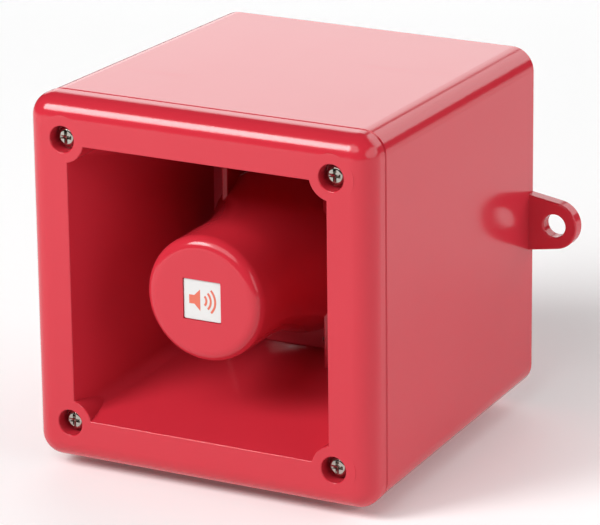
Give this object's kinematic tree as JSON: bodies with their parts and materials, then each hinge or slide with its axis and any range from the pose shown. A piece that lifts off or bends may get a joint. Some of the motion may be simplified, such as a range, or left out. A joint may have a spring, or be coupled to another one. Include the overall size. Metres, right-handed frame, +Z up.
{
  "type": "alarm horn sounder",
  "caption": "Wall-mounted fire alarm horn sounder: deep square housing with side fixing lugs, square flared mouth and a round folded-horn bullet in the middle.",
  "frame": {"origin": "centre of the flat back face, midway between the two fixing lug holes", "axes": "+Z up, +X to the right when facing the horn, the mouth faces -Y and +Y points into the wall"},
  "size_m": [0.1622, 0.133, 0.1333],
  "materials": {
    "red_housing": "glossy moulded",
    "badge": "printed, satin",
    "black_seal": "matt",
    "stainless": "polished",
    "brass": "machined",
    "black_plastic": "moulded",
    "plated_steel": "zinc plated",
    "cast_aluminium": "as cast",
    "resin_dome": "resin bonded cloth",
    "copper": "enamelled wire",
    "ferrite": "sintered",
    "red_wire": "extruded",
    "black_wire": "extruded",
    "board": "solder resist",
    "lamination": "stacked sheet",
    "yellow_tape": "tape",
    "capacitor_sleeve": "shrink sleeve",
    "chip_black": "moulded",
    "black_aluminium": "anodised",
    "switch_red": "moulded",
    "switch_blue": "moulded",
    "switch_white": "moulded",
    "terminal_green": "moulded"
  },
  "bodies": {
    "housing": {"badge_plate": "badge", "blanking_plug": "black_plastic", "blanking_plug_nut": "black_plastic", "blanking_plug_seal": "black_seal", "bullet_screws": "plated_steel", "capacitors": "capacitor_sleeve", "circuit_board": "board", "circuit_board_screws": "plated_steel", "cover_gasket": "black_seal", "cover_screw_seals": "black_seal", "cover_screws": "stainless", "diaphragm_clamp_ring": "black_plastic", "diaphragm_surround": "resin_dome", "driver_front_plate": "cast_aluminium", "driver_gasket": "black_seal", "driver_lead_negative": "black_wire", "driver_lead_positive": "red_wire", "driver_magnet": "ferrite", "driver_screws": "plated_steel", "driver_terminals": "brass", "driver_top_plate": "plated_steel", "driver_yoke": "plated_steel", "heat_sink": "black_aluminium", "horn_bullet": "red_housing", "horn_front": "red_housing", "integrated_circuits": "chip_black", "phase_plug": "black_plastic", "power_transistors": "chip_black", "rear_enclosure": "red_housing", "terminal_block": "terminal_green", "terminal_clamps": "plated_steel", "terminal_screws": "plated_steel", "threaded_inserts": "brass", "throat_tube": "black_plastic", "tone_switch_body": "switch_red", "top_plate_screws": "plated_steel", "transformer_core": "lamination", "transformer_winding": "yellow_tape", "volume_control_body": "switch_blue"},
    "diaphragm_assembly": {"diaphragm": "resin_dome", "voice_coil": "copper"},
    "volume_rotor": {"volume_control_rotor": "switch_white"},
    "slider_1": {"tone_slider_1": "switch_white"},
    "slider_2": {"tone_slider_2": "switch_white"},
    "slider_3": {"tone_slider_3": "switch_white"},
    "slider_4": {"tone_slider_4": "switch_white"},
    "slider_5": {"tone_slider_5": "switch_white"}
  },
  "joints": [
    {"name": "diaphragm_stroke", "type": "slide", "parent": "housing", "child": "diaphragm_assembly", "axis": [0, 1, 0], "range_m": [-0.0004, 0.0004], "stiffness_N_per_m": 400},
    {"name": "volume_turn", "type": "hinge", "parent": "housing", "child": "volume_rotor", "pos_m": [0.014, -0.0166, -0.02], "axis": [0, 1, 0], "range_deg": [0, 270]},
    {"name": "tone_select_1", "type": "slide", "parent": "housing", "child": "slider_1", "axis": [0, 0, 1], "range_m": [0, 0.002]},
    {"name": "tone_select_2", "type": "slide", "parent": "housing", "child": "slider_2", "axis": [0, 0, 1], "range_m": [0, 0.002]},
    {"name": "tone_select_3", "type": "slide", "parent": "housing", "child": "slider_3", "axis": [0, 0, 1], "range_m": [0, 0.002]},
    {"name": "tone_select_4", "type": "slide", "parent": "housing", "child": "slider_4", "axis": [0, 0, 1], "range_m": [0, 0.002]},
    {"name": "tone_select_5", "type": "slide", "parent": "housing", "child": "slider_5", "axis": [0, 0, 1], "range_m": [0, 0.002]}
  ]
}
